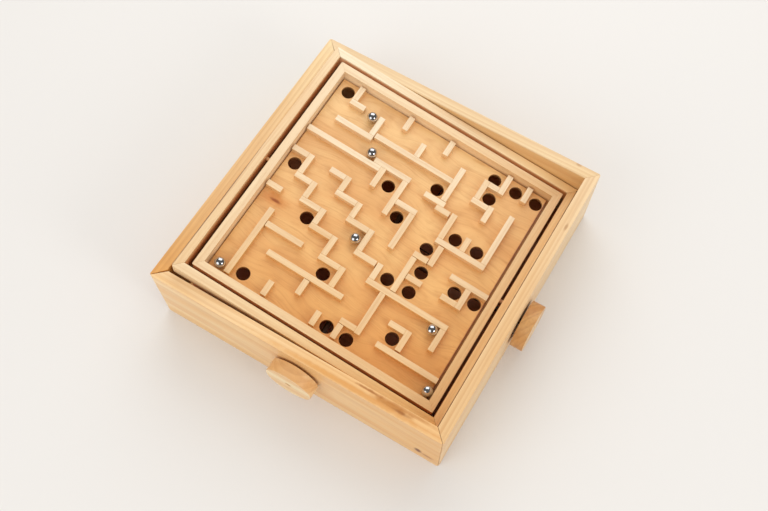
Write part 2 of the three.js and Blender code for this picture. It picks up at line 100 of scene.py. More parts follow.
class Shader:
    """A material and short ways to add nodes to it.

    An argument may be a number, a tuple or a socket.
    """

    def __init__(self, name):
        self.material = bpy.data.materials.new(name)
        self.material.use_nodes = True
        self.tree = self.material.node_tree
        self.tree.nodes.clear()
        self.surface = self.tree.nodes.new("ShaderNodeBsdfPrincipled")
        output = self.tree.nodes.new("ShaderNodeOutputMaterial")
        self.tree.links.new(self.surface.outputs["BSDF"], output.inputs["Surface"])

    def feed(self, socket, value):
        if isinstance(value, bpy.types.NodeSocket):
            self.tree.links.new(value, socket)
        else:
            socket.default_value = value

    def set(self, **values):
        for name, value in values.items():
            self.feed(self.surface.inputs[name.replace("_", " ")], value)

    def attribute(self, name, output="Fac"):
        node = self.tree.nodes.new("ShaderNodeAttribute")
        node.attribute_name = name
        return node.outputs[output]

    def place(self):
        return self.tree.nodes.new("ShaderNodeTexCoord").outputs["Object"]

    def math(self, operation, *values, clamp=False):
        node = self.tree.nodes.new("ShaderNodeMath")
        node.operation = operation
        node.use_clamp = clamp
        for socket, value in zip(node.inputs, values):
            self.feed(socket, value)
        return node.outputs["Value"]

    def vector(self, operation, *values):
        node = self.tree.nodes.new("ShaderNodeVectorMath")
        node.operation = operation
        for socket, value in zip(node.inputs, values):
            self.feed(socket, value)
        return node.outputs["Value" if operation == "LENGTH" else "Vector"]

    def split(self, vector):
        node = self.tree.nodes.new("ShaderNodeSeparateXYZ")
        self.feed(node.inputs[0], vector)
        return node.outputs

    def gather(self, x, y, z):
        node = self.tree.nodes.new("ShaderNodeCombineXYZ")
        for socket, value in zip(node.inputs, (x, y, z)):
            self.feed(socket, value)
        return node.outputs[0]

    def noise(self, vector, per_metre, detail=2.0, rough=0.5, output="Fac"):
        node = self.tree.nodes.new("ShaderNodeTexNoise")
        self.feed(node.inputs["Vector"], self.vector("MULTIPLY", vector, per_metre))
        node.inputs["Scale"].default_value = 1.0
        node.inputs["Detail"].default_value = detail
        node.inputs["Roughness"].default_value = rough
        return node.outputs[output]

    def step(self, value, low, high, out_low=0.0, out_high=1.0):
        node = self.tree.nodes.new("ShaderNodeMapRange")
        node.interpolation_type = "SMOOTHSTEP"
        for socket, given in zip(node.inputs, (value, low, high, out_low, out_high)):
            self.feed(socket, given)
        return node.outputs["Result"]

    def mix(self, factor, a, b, blend="MIX"):
        node = self.tree.nodes.new("ShaderNodeMix")
        node.data_type = "RGBA"
        node.blend_type = blend
        self.feed(node.inputs["Factor"], factor)
        # The colour sockets share their names with others, so they go by number
        self.feed(node.inputs[6], a)
        self.feed(node.inputs[7], b)
        return node.outputs[2]

    def bump(self, height, strength, distance):
        node = self.tree.nodes.new("ShaderNodeBump")
        node.inputs["Strength"].default_value = strength
        node.inputs["Distance"].default_value = distance
        self.feed(node.inputs["Height"], height)
        self.feed(self.surface.inputs["Normal"], node.outputs["Normal"])

    def toned(self, colour, tone):
        """A higher tone is paler, a lower one is deeper and more orange. Tones hold painted light
        and shade.
        """
        red_green_blue = (0.02, 0.07, 0.15)
        levels = [self.math("ADD", 1.0, self.math("MULTIPLY", tone, k)) for k in red_green_blue]
        return self.mix(1.0, colour, self.gather(*levels), "MULTIPLY")

    def mark(self, colour, place, centre, radii, tint, strength, ragged=0.35):
        """Paints tint over colour inside an ellipsoid, given in millimetres, with a ragged edge."""
        away = self.vector("SUBTRACT", place, tuple(v * MM for v in centre))
        scaled = self.vector("MULTIPLY", away, tuple(1 / (r * MM) for r in radii))
        uneven = self.math("SUBTRACT", self.noise(place, (160, 160, 160), 3), 0.5)
        shift = self.math("MULTIPLY", uneven, 2 * ragged)
        wide = self.math("ADD", self.vector("LENGTH", scaled), shift)
        inside = self.step(wide, 1.0, 0.25, 0.0, strength)
        return self.mix(inside, colour, srgb(tint))


def wood(
    name, pale, warm, late, spacing, late_share, fibre_share, fleck_share, pith,
    marks=(), shade=("ee9438", 0.5),
):
    """Solid wood. The point attribute grain runs along, across and into the board, in metres.

    pale and warm are the wood's two colours and late is the colour of its growth rings, which
    lie spacing apart round the pith. shade is the colour and strength of the painted shade put on
    marked vertices: sides that face a gap, and axles inside the box.
    """
    s = Shader(name)
    grain = s.attribute("grain", "Vector")
    tone = s.attribute("tone")
    wander = s.vector("SUBTRACT", s.noise(grain, (4, 20, 20), 2, output="Color"), (0.5, 0.5, 0.5))
    bent = s.vector("ADD", grain, s.vector("MULTIPLY", wander, (0, 0.012, 0.012)))
    x, y, z = s.split(bent)
    drift = s.math("MULTIPLY", x, 0.022)
    out_y = s.math("ADD", s.math("SUBTRACT", y, pith[0] * MM), drift)
    out_z = s.math("SUBTRACT", z, pith[1] * MM)
    radius = s.vector("LENGTH", s.gather(0, out_y, out_z))
    rings = s.math("DIVIDE", radius, spacing * MM)
    uneven = s.noise(s.gather(rings, 0, 0), (0.7, 1, 1), 1)
    phase = s.math("FRACT", s.math("ADD", rings, s.math("MULTIPLY", uneven, 1.6)))
    rise = s.step(phase, 0.25, 0.88)
    fall = s.step(phase, 0.9, 1.0, 1.0, 0.0)
    latewood = s.math("MULTIPLY", rise, fall)
    fibre = s.noise(grain, (9, 420, 420), 4, 0.6)
    fleck = s.step(s.noise(grain, (170, 1900, 1900), 2), 0.60, 0.72)
    broad = s.step(s.noise(grain, (5, 60, 60), 3), 0.35, 0.68)
    colour = s.mix(broad, srgb(pale), srgb(warm))
    colour = s.mix(s.math("MULTIPLY", latewood, late_share), colour, srgb(late))
    darker = s.math("MULTIPLY", s.step(fibre, 0.42, 0.72), fibre_share)
    colour = s.mix(darker, colour, srgb(late))
    colour = s.mix(s.math("MULTIPLY", fleck, fleck_share), colour, srgb(late))
    place = s.place()
    for item in marks:
        colour = s.mark(colour, place, *item)
    # Each part's random tone, and painted light and shade that vary over the parts
    colour = s.toned(colour, tone)
    # Painted shade on sides that face a gap and on axles inside the box
    colour = s.mix(s.math("MULTIPLY", s.attribute("painted_shade"), shade[1]), colour, srgb(shade[0]))
    wear = s.attribute("wear")
    colour = s.mix(s.math("MULTIPLY", wear, 0.14), colour, srgb(late))
    gloss = s.math("ADD", 0.36, s.math("MULTIPLY", fibre, 0.16))
    gloss = s.math("SUBTRACT", gloss, s.math("MULTIPLY", wear, 0.08))
    s.set(Base_Color=colour, Roughness=gloss, Specular_IOR_Level=0.8)
    height = s.math("ADD", fibre, s.math("MULTIPLY", latewood, 0.4))
    height = s.math("SUBTRACT", height, s.math("MULTIPLY", fleck, 0.5))
    s.bump(height, 0.5, 0.00012)
    return s.material


def plywood(name, pale, warm, deep, marks=()):
    """Rotary cut veneer: a slow flame figure and fine lines along the grain."""
    s = Shader(name)
    grain = s.attribute("grain", "Vector")
    tone = s.attribute("tone")
    wander = s.vector("SUBTRACT", s.noise(grain, (9, 16, 16), 2, output="Color"), (0.5, 0.5, 0.5))
    bent = s.vector("ADD", grain, s.vector("MULTIPLY", wander, (0.03, 0.05, 0.0)))
    figure = s.noise(bent, (7, 34, 30), 3, 0.55)
    curl = s.noise(bent, (60, 190, 30), 2, 0.5)
    lines = s.noise(bent, (14, 620, 620), 4, 0.6)
    fleck = s.step(s.noise(grain, (150, 1500, 1500), 2), 0.62, 0.74)
    colour = s.mix(s.step(figure, 0.36, 0.66), srgb(pale), srgb(warm))
    colour = s.mix(s.math("MULTIPLY", s.step(curl, 0.5, 0.75), 0.26), colour, srgb(deep))
    colour = s.mix(s.math("MULTIPLY", s.step(lines, 0.45, 0.75), 0.32), colour, srgb(deep))
    colour = s.mix(s.math("MULTIPLY", fleck, 0.25), colour, srgb(deep))
    place = s.place()
    for item in marks:
        colour = s.mark(colour, place, *item)
    # The cut walls of the holes and the groove show the plies, over a painted shade
    _, _, up = s.split(place)
    plies = s.step(s.math("FRACT", s.math("MULTIPLY", up, 1 / (PLY * MM))), 0.45, 0.55)
    painted_shade = s.attribute("painted_shade")
    darkness = s.math("MULTIPLY", painted_shade, s.math("ADD", 0.35, s.math("MULTIPLY", plies, 0.4)))
    colour = s.mix(darkness, colour, srgb("7c4616"))
    # A random tone for each part, and painted light and shade
    colour = s.toned(colour, tone)
    gloss = s.math("ADD", 0.30, s.math("MULTIPLY", lines, 0.16))
    s.set(Base_Color=colour, Roughness=gloss, Specular_IOR_Level=0.5)
    s.bump(s.math("ADD", lines, s.math("MULTIPLY", curl, 0.5)), 0.4, 0.00010)
    return s.material


def metal(name, colour, dull, rough, scratch):
    """Bare metal with fine scratches and a little tarnish."""
    s = Shader(name)
    place = s.place()
    scratches = s.noise(place, (900, 900, 5200), 3, 0.6)
    tarnish = s.step(s.noise(place, (260, 260, 260), 3), 0.45, 0.75)
    shine = s.mix(s.math("MULTIPLY", tarnish, 0.35), srgb(colour), srgb(dull))
    gloss = s.math("ADD", rough, s.math("MULTIPLY", s.math("ADD", scratches, tarnish), scratch))
    s.set(Metallic=1.0, Base_Color=shine, Roughness=gloss)
    s.bump(scratches, 0.12, 0.00002)
    return s.material


def thread(name):
    """Waxed cord: twisted strands, seen as slanting ridges."""
    s = Shader(name)
    place = s.place()
    x, y, z = s.split(place)
    slant = s.math("ADD", s.math("ADD", x, y), s.math("MULTIPLY", z, 0.8))
    ridge = s.math("SINE", s.math("MULTIPLY", slant, 2 * math.pi / (STRAND * MM)))
    fuzz = s.noise(place, (2400, 2400, 2400), 3)
    colour = s.mix(s.step(ridge, -0.8, 0.8), srgb("2e2219"), srgb("57432f"))
    colour = s.mix(s.math("MULTIPLY", fuzz, 0.3), colour, srgb("7a6146"))
    s.set(Base_Color=colour, Roughness=s.math("ADD", 0.6, s.math("MULTIPLY", fuzz, 0.25)))
    s.bump(s.math("ADD", ridge, fuzz), 0.6, 0.0001)
    return s.material


PINE = dict(spacing=4.6, late_share=0.24, fibre_share=0.22, fleck_share=0.12)
BEECH = dict(spacing=2.2, late_share=0.16, fibre_share=0.26, fleck_share=0.30)

materials = {
    "box_front": wood(
        "pine_front", "f7d39f", "f2c383", "d09250", pith=(30, -90), **PINE,
        marks=[
            ((128, -150, 17.3), (5.2, 3, 7), "7c3a14", 1.0, 0.2),
            ((138, -150, 14.5), (9, 3, 4.2), "b8763a", 0.8),
            ((97, -143.2, 82), (27, 3.8, 5), "c27c1c", 0.85),
            ((106, -144.3, 82), (10, 2.4, 4), "a2600f", 0.8),
            ((105, -140.6, 82), (48, 2.2, 3), "c07a28", 0.6),
            ((72, -141, 82), (17, 1.6, 3), "b06a1c", 0.8),
            ((60, -147, 82), (120, 3.4, 5), "e09c42", 0.7),
        ],
    ),
    "box_left": wood("pine_left", "f3ca8e", "e8b470", "c58542", pith=(110, -60), **PINE),
    "box_right": wood(
        "pine_right", "efcd9c", "e8bd84", "c78e52", pith=(-20, -120), **PINE,
        marks=[((146.4, 83.6, 82), (2, 5.5, 2), "a86f34", 0.6, 0.2)],
    ),
    "box_back": wood(
        "pine_back", "f0d3a3", "e9c48c", "c98f50", pith=(60, -80), **PINE,
        marks=[((127.4, 148.4, 82), (4, 2.2, 2), "a8682c", 0.5, 0.2)],
    ),
    "knob": wood("pine_knob", "f6d5a0", "edbb7c", "c78a4c", pith=(-60, -90), **PINE),
    # A deeper copy of the knob wood for the right knob: painted shade
    "knob_right": wood("pine_knob_right", "e6c08c", "d9a565", "ad6f38", pith=(-60, -90), **PINE),
    "ring": wood(
        "beech_ring", "f2d4a6", "ecc592", "cf9a60", pith=(20, -160), **BEECH,
        marks=[
            # Painted shade: a dark line along the left side's outer edge, next to the box wall
            ((-136.8, -70, RING_TOP), (1.7, 120, 3), "6e3a14", 0.9, 0.1),
            # Painted light: a pale patch over the right half of the back side
            ((105, 132.6, RING_TOP), (105, 40, 20), "ffe2b0", 0.9, 0.1),
        ],
    ),
    # A paler copy of the ring wood for the right side: painted light where the box wall shades it
    "ring_right_painted_light": wood(
        "beech_ring_right", "f7d8a6", "f1c990", "d49d5f", pith=(20, -160), **BEECH,
        # Painted shade: a dark line along the outer edge, under the box wall's top
        marks=[((136.2, 0, RING_TOP), (1.7, 1500, 3), "5c2a08", 0.95, 0.1)],
    ),
    "frame": wood("beech_frame", "f4d9b0", "eecb9c", "d09d66", pith=(-40, -160), **BEECH),
    "strip": wood("beech_strip", "f5dab2", "eecda0", "d2a06a", pith=(60, -140), **BEECH),
    "board": plywood(
        "birch_board", "f1c07e", "e7ae6c", "c4803b",
        marks=[
            ((-99, -29, BOARD_TOP), (18, 8, 3), "d07a28", 0.6),
            ((-98.4, -29.8, BOARD_TOP), (9, 2.3, 3), "97480f", 0.9),
            # Painted shade: a dark line along the right edge, beside the inner frame's rail
            ((116.7, 0, BOARD_TOP), (2.6, 1500, 3), "6e2404", 1.0, 0.1),
        ],
    ),
    # The base is birch like the board, painted deeper and redder: painted shade for the box's
    # inside seen through the holes
    "base": plywood("birch_base_painted_shade", "e0925f", "d28350", "a5633a"),
    "ball": metal("polished_steel", "d8d8da", "b8b4ae", 0.03, 0.05),
    "dowel": wood(
        "beech_dowel", "e0b47c", "d3a063", "a8703a", pith=(0, -40), **BEECH,
        # The dark shade is painted shade, on the axles inside the box
        shade=("4a2410", 0.92),
    ),
    "brass": metal("brass", "d2b06a", "9a7b3e", 0.22, 0.15),
    "thread": thread("waxed_thread"),
}


# ---------------------------------------------------------------- mesh pieces


class Piece:
    """Gathers parts, each with its own grain direction, into one object."""

    def __init__(self):
        self.vertices, self.faces, self.smooth, self.sharp = [], [], [], []
        self.grain, self.tone, self.wear, self.painted_shade = [], [], [], []

    def add(self, bm, along=(1, 0, 0), across=(0, 0, 1), tone=None, wear=(), painted_shade=(), turn=None):
        """Takes in a part, placed by turn. wear lists its worn vertices; the next set, those with
        painted shade.

        along and across are the part's own directions of grain. The tone is a number or a function
        of the place in the group, in millimetres. It carries painted light and shade; without one,
        a random tone.
        """
        along, across = Vector(along), Vector(across)
        into = along.cross(across)
        start = Vector((rng.uniform(-3, 3), rng.uniform(-0.004, 0.004), rng.uniform(-0.004, 0.004)))
        tone = rng.uniform(-1, 1) if tone is None else tone
        first = len(self.vertices)
        wear, painted_shade = set(wear), set(painted_shade)
        bm.verts.index_update()
        for v in bm.verts:
            place = v.co * MM
            turned = turn @ v.co if turn else v.co
            directions = Vector((place.dot(along), place.dot(across), place.dot(into)))
            self.grain.append(directions + start)
            self.tone.append(tone(turned) if callable(tone) else tone)
            self.wear.append(1.0 if v in wear else 0.0)
            self.painted_shade.append(1.0 if v in painted_shade else 0.0)
            self.vertices.append(turned * MM)
        for f in bm.faces:
            self.faces.append([first + v.index for v in f.verts])
            self.smooth.append(f.smooth)
        self.sharp += [
            tuple(sorted(first + v.index for v in e.verts)) for e in bm.edges if not e.smooth
        ]
        bm.free()

    def make(self, name, body, place, material, replaced, weighted=True):
        """Makes the object. body is a name, or two names and two ends, which are not used and leave
        it unattached.
        """
        mesh = bpy.data.meshes.new(name)
        mesh.from_pydata([tuple(v) for v in self.vertices], [], self.faces)
        mesh.polygons.foreach_set("use_smooth", self.smooth)
        mesh.attributes.new("grain", "FLOAT_VECTOR", "POINT").data.foreach_set(
            "vector", [c for v in self.grain for c in v]
        )
        for label, values in (("tone", self.tone), ("wear", self.wear), ("painted_shade", self.painted_shade)):
            mesh.attributes.new(label, "FLOAT", "POINT").data.foreach_set("value", values)
        sharp = set(self.sharp)
        marks = [tuple(sorted(e.vertices)) in sharp for e in mesh.edges]
        mesh.attributes.new("sharp_edge", "BOOLEAN", "EDGE").data.foreach_set("value", marks)
        mesh.materials.append(material)
        mesh.validate()
        piece = bpy.data.objects.new(name, mesh)
        bpy.context.scene.collection.objects.link(piece)
        piece.matrix_world = place
        if weighted:
            modifier = piece.modifiers.new("weighted_normals", "WEIGHTED_NORMAL")
            modifier.weight = 80
            modifier.keep_sharp = True
        if isinstance(body, str):
            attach(piece, body)
        else:
            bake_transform(piece)
        if replaced:
            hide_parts(*replaced)
        return piece


def bevel(bm, edges, width, segments=3):
    """Rounds edges and returns the vertices that lie within the rounding."""
    result = bmesh.ops.bevel(
        bm, geom=list(edges), offset=width, offset_type="OFFSET", segments=segments,
        profile=0.5, affect="EDGES", clamp_overlap=True,
    )
    rounded = set(result["faces"])
    return [v for v in bm.verts if all(f in rounded for f in v.link_faces)]


def smooth_all(bm):
    for f in bm.faces:
        f.smooth = True


def block(x0, x1, y0, y1, z0, z1, rounding):
    """A box with rounded edges, and its worn vertices."""
    bm = bmesh.new()
    bmesh.ops.create_cube(bm, size=1.0)
    size = Vector((x1 - x0, y1 - y0, z1 - z0))
    middle = Vector((x0 + x1, y0 + y1, z0 + z1)) / 2
    for v in bm.verts:
        v.co = Vector(a * b for a, b in zip(v.co, size)) + middle
    worn = bevel(bm, bm.edges, rounding)
    smooth_all(bm)
    return bm, worn


def raised(outline, z0, z1):
    """A closed plan outline raised from z0 to z1."""
    bm = bmesh.new()
    low = [bm.verts.new((x, y, z0)) for x, y in outline]
    high = [bm.verts.new((x, y, z1)) for x, y in outline]
    bm.faces.new(reversed(low))
    bm.faces.new(high)
    for i in range(len(outline)):
        j = (i + 1) % len(outline)
        bm.faces.new((low[i], low[j], high[j], high[i]))
    bmesh.ops.recalc_face_normals(bm, faces=bm.faces)
    return bm


def on_mitre(face):
    return abs(abs(face.normal.x) - 1 / DIAGONAL) < 0.12


def mitred_side(outer, inner, z0, z1, corner, rounding, left, right):
    """The front side of a mitred frame, and its worn vertices.

    left and right are how far each mitre stands back, at its outer and inner end.
    """
    middle = outer - corner
    arc = [math.radians(a) for a in (225, 234, 243, 252, 261, 270)]
    round_x = [-middle + corner * math.cos(a) for a in arc]
    round_y = [-middle + corner * math.sin(a) for a in arc]
    outline = [(-inner + left[1] * DIAGONAL, -inner), (round_x[0] + left[0] * DIAGONAL, round_y[0])]
    outline += list(zip(round_x[1:], round_y[1:]))
    outline += [(-x, y) for x, y in zip(reversed(round_x[1:]), reversed(round_y[1:]))]
    outline += [(-round_x[0] - right[0] * DIAGONAL, round_y[0])]
    outline += [(inner - right[1] * DIAGONAL, -inner)]
    bm = raised(outline, z0, z1)
    bm.normal_update()
    most = (outer - inner) * (z1 - z0) * 0.8
    ends = [f for f in bm.faces if on_mitre(f) and f.calc_area() > most]
    end_edges = {e for f in ends for e in f.edges}
    long_edges = [e for e in bm.edges if e not in end_edges and e.calc_face_angle(0) > 0.5]
    worn = set(bevel(bm, long_edges, rounding))
    bm.normal_update()
    sharp = [
        e for e in bm.edges
        if e.calc_face_angle(0) > 0.5
        and any(on_mitre(f) and abs(f.normal.z) < 0.1 for f in e.link_faces)
    ]
    bevel(bm, sharp, 0.12, 1)
    smooth_all(bm)
    worn = {v for v in worn if v.is_valid}
    return bm, worn


def level_cut(bm, z):
    """Adds edges round a part at one height."""
    geometry = list(bm.verts) + list(bm.edges) + list(bm.faces)
    bmesh.ops.bisect_plane(bm, geom=geometry, plane_co=(0, 0, z), plane_no=(0, 0, 1))


def carved(bm, worn, tools, turn):
    """Cuts the tools, which are turned first, out of a part. Returns it and its worn vertices."""

    def key(v):
        return tuple(round(c, 2) for c in v.co)

    places = {key(v) for v in worn if v.is_valid}
    holders = []
    for i, shape in enumerate([bm] + tools):
        if i:
            bmesh.ops.transform(shape, matrix=turn, verts=shape.verts)
        mesh = bpy.data.meshes.new("cutting")
        shape.to_mesh(mesh)
        shape.free()
        holder = bpy.data.objects.new("cutting", mesh)
        bpy.context.scene.collection.objects.link(holder)
        holders.append(holder)
    for tool in holders[1:]:
        modifier = holders[0].modifiers.new("cut", "BOOLEAN")
        modifier.operation, modifier.solver, modifier.object = "DIFFERENCE", "EXACT", tool
    result = bmesh.new()
    result.from_object(holders[0], bpy.context.evaluated_depsgraph_get())
    for holder in holders:
        mesh = holder.data
        bpy.data.objects.remove(holder)
        bpy.data.meshes.remove(mesh)
    smooth_all(result)
    result.normal_update()
    for e in result.edges:
        e.smooth = e.calc_face_angle(0) < 0.6
    return result, [v for v in result.verts if key(v) in places]


def slope(base, per_x, per_y, below=0, height=BOX_HEIGHT - 1):
    """Painted light and shade: a tone that changes by per_x and per_y over 100 mm, and by so much
    more below a height.
    """
    return lambda p: base + per_x * p.x / 100 + per_y * p.y / 100 + (below if p.z < height else 0)


def circle(count):
    """The corners of a polygon on the unit circle."""
    angles = [2 * math.pi * i / count for i in range(count)]
    return [(math.cos(a), math.sin(a)) for a in angles]


def lathe(profile, steps):
    """Turns a profile of (radius, height) about Z. A radius of 0 closes on the axis."""
    bm = bmesh.new()
    rows = []
    for r, h in profile:
        if r == 0:
            rows.append([bm.verts.new((0, 0, h))] * steps)
        else:
            rows.append([bm.verts.new((r * x, r * y, h)) for x, y in circle(steps)])
    for low, high in zip(rows, rows[1:]):
        for i in range(steps):
            j = (i + 1) % steps
            corners = []
            for v in (low[i], low[j], high[j], high[i]):
                if v not in corners:
                    corners.append(v)
            if len(corners) > 2:
                bm.faces.new(corners)
    bmesh.ops.remove_doubles(bm, verts=bm.verts, dist=1e-6)
    bmesh.ops.recalc_face_normals(bm, faces=bm.faces)
    smooth_all(bm)
    return bm


def arc_points(centre_r, centre_h, radius, start, end, count=4):
    """Points of a profile on an arc from start to end degrees."""
    angles = [math.radians(start + (end - start) * i / count) for i in range(count + 1)]
    return [(centre_r + radius * math.cos(a), centre_h + radius * math.sin(a)) for a in angles]


def rod(radius, length, rounding=0.3):
    """A rod along Z from 0 to length with softened ends."""
    profile = [(0, 0)] + arc_points(radius - rounding, rounding, rounding, -90, 0)
    profile += arc_points(radius - rounding, length - rounding, rounding, 0, 90) + [(0, length)]
    return lathe(profile, 32)


def sweep(points, radius, sides=10):
    """A tube of one radius along a line of points, with closed ends."""
    bm = bmesh.new()
    points = [Vector(p) for p in points]
    rows = []
    side = None
    for i, p in enumerate(points):
        ahead = points[min(i + 1, len(points) - 1)] - points[max(i - 1, 0)]
        ahead.normalize()
        if side is None:
            side = ahead.orthogonal().normalized()
        side = (side - ahead * side.dot(ahead)).normalized()
        other = ahead.cross(side)
        rows.append([bm.verts.new(p + radius * (side * a + other * b)) for a, b in circle(sides)])
    for low, high in zip(rows, rows[1:]):
        for k in range(sides):
            bm.faces.new((low[k], low[(k + 1) % sides], high[(k + 1) % sides], high[k]))
    bm.faces.new(reversed(rows[0]))
    bm.faces.new(rows[-1])
    bmesh.ops.recalc_face_normals(bm, faces=bm.faces)
    smooth_all(bm)
    return bm


# ---------------------------------------------------------------- box

# How far each wall's mitres stand back, at their outer and inner end
BOX_MITRES = {
    "front": {"left": (0.3, 1.1), "right": (0.2, 0.25)},
    "right": {"left": (0.15, 0.2), "right": (0.08, 0.08)},
    "back": {"left": (0.06, 0.1), "right": (0.05, 0.35)},
    "left": {"left": (0.05, 0.1), "right": (0.15, 0.6)},
}
# Painted light and shade: the front deeper to the right, the left paler to the back, the right
# wall's faces paler and the back wall's deeper
BOX_PAINTED_LIGHT = {
    "front": slope(-0.5, -0.9, 0),
    "right": slope(-0.4, 0, 0.8, below=1.3),
    "back": slope(0.4, -0.2, 0, below=-2.2),
    "left": lambda p: 0.034 * max(p.y, -118),
}


def tool_block(x0, x1, y0, y1, z0, z1):
    return block(x0, x1, y0, y1, z0, z1, 0)[0]


def bore(radius, start, end):
    """A cutter for a round hole from start to end."""
    start, end = Vector(start), Vector(end)
    turn = (end - start).to_track_quat("Z", "Y").to_matrix().to_4x4()
    bm = lathe([(0, 0), (radius, 0), (radius, (end - start).length), (0, (end - start).length)], 40)
    bmesh.ops.transform(bm, matrix=Matrix.Translation(start) @ turn, verts=bm.verts)
    return bm


rebate_half = BASE_HALF + GAP
REBATE = (-rebate_half, rebate_half, -rebate_half, rebate_half, -1, BASE_THICKNESS + GAP)
pin_bore, pin_depth = PIN_RADIUS + GAP, RING_PIN_IN_WALL + 0.5


def along_y(radius, x, z, y0, y1):
    return bore(radius, (x, y0, z), (x, y1, z))


def along_x(radius, y, z, x0, x1):
    return bore(radius, (x0, y, z), (x1, y, z))


FRONT_AXLE, RIGHT_AXLE = (FRONT_AXLE_X, FRONT_AXLE_Z), (RIGHT_AXLE_Y, RIGHT_AXLE_Z)
RING_PIN = (PIVOT.x, PIVOT.z)
WALL_TOOLS = {
    "front": [
        along_y(AXLE_BORE, *FRONT_AXLE, -BOX_HALF - 1, -BOX_INNER + 1),
        along_y(pin_bore, *RING_PIN, -BOX_INNER - pin_depth, -BOX_INNER + 1),
    ],
    "back": [
        along_y(AXLE_BORE, *FRONT_AXLE, BOX_INNER - 1, BOX_INNER + AXLE_BLIND),
        along_y(pin_bore, *RING_PIN, BOX_INNER - 1, BOX_INNER + pin_depth),
    ],
    "right": [
        along_x(AXLE_BORE, *RIGHT_AXLE, BOX_INNER - 1, BOX_HALF + 1),
    ],
    "left": [
        along_x(AXLE_BORE, *RIGHT_AXLE, -BOX_INNER - AXLE_BLIND, -BOX_INNER + 1),
        tool_block(
            -BOX_HALF - 1, -BOX_INNER + 1,
            OUTLET_Y - OUTLET_WIDTH / 2, OUTLET_Y + OUTLET_WIDTH / 2,
            BASE_THICKNESS - 0.5, OUTLET_TOP,
        ),
    ],
}
for side, degrees in SIDES.items():
    turn = Matrix.Rotation(math.radians(degrees), 4, "Z")
    bm, worn = mitred_side(
        BOX_HALF, BOX_INNER, 0, BOX_HEIGHT, 2.5, WALL_ROUNDING, **BOX_MITRES[side]
    )
    level_cut(bm, BOX_HEIGHT - WALL_LIP)
    tools = [tool_block(*REBATE)] + WALL_TOOLS[side]
    bm, worn = carved(bm, worn, tools, turn.inverted())
    piece = Piece()
    piece.add(bm, tone=BOX_PAINTED_LIGHT[side], wear=worn, turn=turn)
    piece.make(f"box_wall_{side}", "box", ROOM, materials[f"box_{side}"], [f"box_{side}"])

piece = Piece()
bm, worn = block(-BASE_HALF, BASE_HALF, -BASE_HALF, BASE_HALF, 0, BASE_THICKNESS, 0.4)
piece.add(bm, across=(0, 1, 0), wear=worn)
piece.make("base_sheet", "box", ROOM, materials["base"], ["base_panel"])


# ---------------------------------------------------------------- ring, inner frame and board

# Painted light and shade on each side of the ring, paler or deeper along it
RING_PAINTED_LIGHT = {
    "front": slope(-1.9, -2, 0),
    "right": slope(-2.3, 0, 0.3),
    "back": lambda p: 1.8 - 0.015 * p.x - 0.08 * max(p.x - 108, 0),
    "left": slope(0, 0, 0.5),
}
for side, degrees in SIDES.items():
    turn = Matrix.Rotation(math.radians(degrees), 4, "Z")
    bm, worn = mitred_side(
        RING_OUTER, RING_INNER, RING_BOTTOM, RING_TOP, 1.8, RING_ROUNDING, RING_MITRE, RING_MITRE
    )
    level_cut(bm, RING_TOP - RAIL_LIP)
    level_cut(bm, RING_TOP - RAIL_SHADE)
    # Painted shade on the inner faces below the top, which face the gap to the inner frame
    low = RING_TOP - RAIL_SHADE + 0.1
    shaded = [v for v in bm.verts if v.co.z < low and v.co.y > -RING_INNER - 1]
    piece = Piece()
    piece.add(bm, across=(0, 1, 0), tone=RING_PAINTED_LIGHT[side], wear=worn, painted_shade=shaded, turn=turn)
    look = materials["ring_right_painted_light" if side == "right" else "ring"]
    piece.make(f"ring_side_{side}", "ring", RING, look, [f"ring_rail_{side}"])

    bm, worn = mitred_side(
        FRAME_OUTER, FRAME_INNER, FRAME_BOTTOM, FRAME_TOP, 0.8, FRAME_ROUNDING,
        FRAME_MITRE, FRAME_MITRE,
    )
    level_cut(bm, FRAME_TOP - RAIL_LIP)
    level_cut(bm, FRAME_TOP - RAIL_SHADE)
    # Painted shade on the outer faces below the top, which face the gap to the ring
    low = FRAME_TOP - RAIL_SHADE + 0.1
    shaded = [v for v in bm.verts if v.co.z < low and v.co.y < -FRAME_OUTER + 1]
    piece = Piece()
    turn = Matrix.Translation((FRAME_SHIFT, 0, 0)) @ turn
    # Painted light and shade: deeper to the right, paler towards the back
    tone = slope(-1.3, -1, 0.4)
    piece.add(bm, across=(0, 1, 0), tone=tone, wear=worn, painted_shade=shaded, turn=turn)
    replaced = [f"frame_rail_{side}"]
    piece.make(f"frame_side_{side}", "frame", BOARD, materials["frame"], replaced)

# Ball holes, [x, y] of each centre on the board
HOLES = [
    (-103.6, 104.8), (62.8, 105.1), (86.3, 105), (108.2, 105.5),
    (67.8, 84.8), (21.2, 65), (-19.4, 41.9),
    (61.4, 30.4), (84.7, 30.4), (3.6, 19.2), (-104.9, 12.3), (43.4, 7.3),
    (51, -15.4), (86.9, -15.4), (107.7, -14.8), (-65.6, -27.9),
    (28, -38.1), (51, -38), (-23.7, -66), (61, -83.8),
    (-83.5, -105), (5.7, -106.2), (26.7, -107),
]


